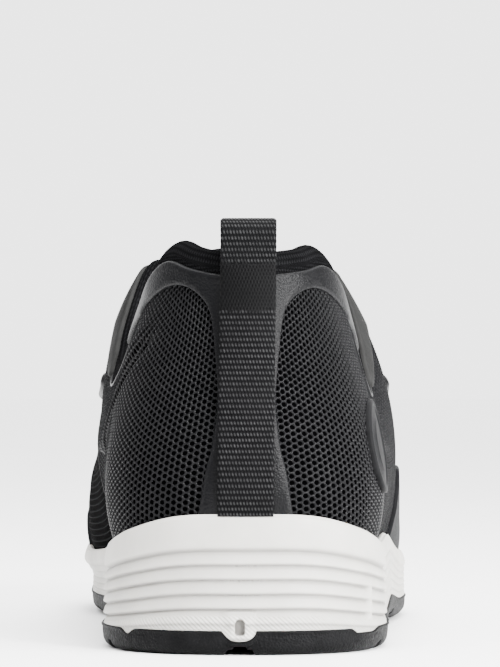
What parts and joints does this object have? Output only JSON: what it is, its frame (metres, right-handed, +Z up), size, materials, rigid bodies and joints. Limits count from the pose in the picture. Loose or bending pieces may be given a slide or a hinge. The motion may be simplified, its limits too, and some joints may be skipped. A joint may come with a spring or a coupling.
{
  "type": "safety sneaker",
  "caption": "Right low-cut safety trainer: hollow upper with padded collar, tongue, crossed lace, heel pull loop, ribbed midsole and lugged outsole.",
  "frame": {"origin": "centre of the shoe's bounding box in plan, on the floor the outsole stands on", "axes": "+Y runs from the heel to the toe, +X to the wearer's right (the lateral side), +Z up"},
  "size_m": [0.1092, 0.3, 0.1256],
  "materials": {
    "black_rubber": "satin moulded rubber",
    "white_foam": "matte off-white moulded foam",
    "black_mesh": "black mesh under a raised honeycomb film",
    "black_film": "satin charcoal moulded film",
    "grey_film": "matte dark grey film",
    "black_webbing": "ribbed woven webbing",
    "black_knit": "soft black knit",
    "grey_knit": "dark grey fabric top cover",
    "black_lace": "woven flat lace"
  },
  "bodies": {
    "root": {"outsole": "black_rubber", "midsole": "white_foam", "upper": "black_mesh", "heel_frame": "black_film", "toe_guard": "black_film", "side_tab_lateral": "black_film", "side_tab_medial": "black_film", "eyestay": "grey_film", "badge": "grey_film", "pull_loop": "black_webbing", "tongue": "black_knit", "insole": "grey_knit", "lace": "black_lace", "eyelet_lateral_1": "black_film", "eyelet_lateral_2": "black_film", "eyelet_lateral_3": "black_film", "eyelet_lateral_4": "black_film", "eyelet_lateral_5": "black_film", "eyelet_lateral_6": "black_film", "eyelet_medial_1": "black_film", "eyelet_medial_2": "black_film", "eyelet_medial_3": "black_film", "eyelet_medial_4": "black_film", "eyelet_medial_5": "black_film", "eyelet_medial_6": "black_film"}
  },
  "joints": []
}
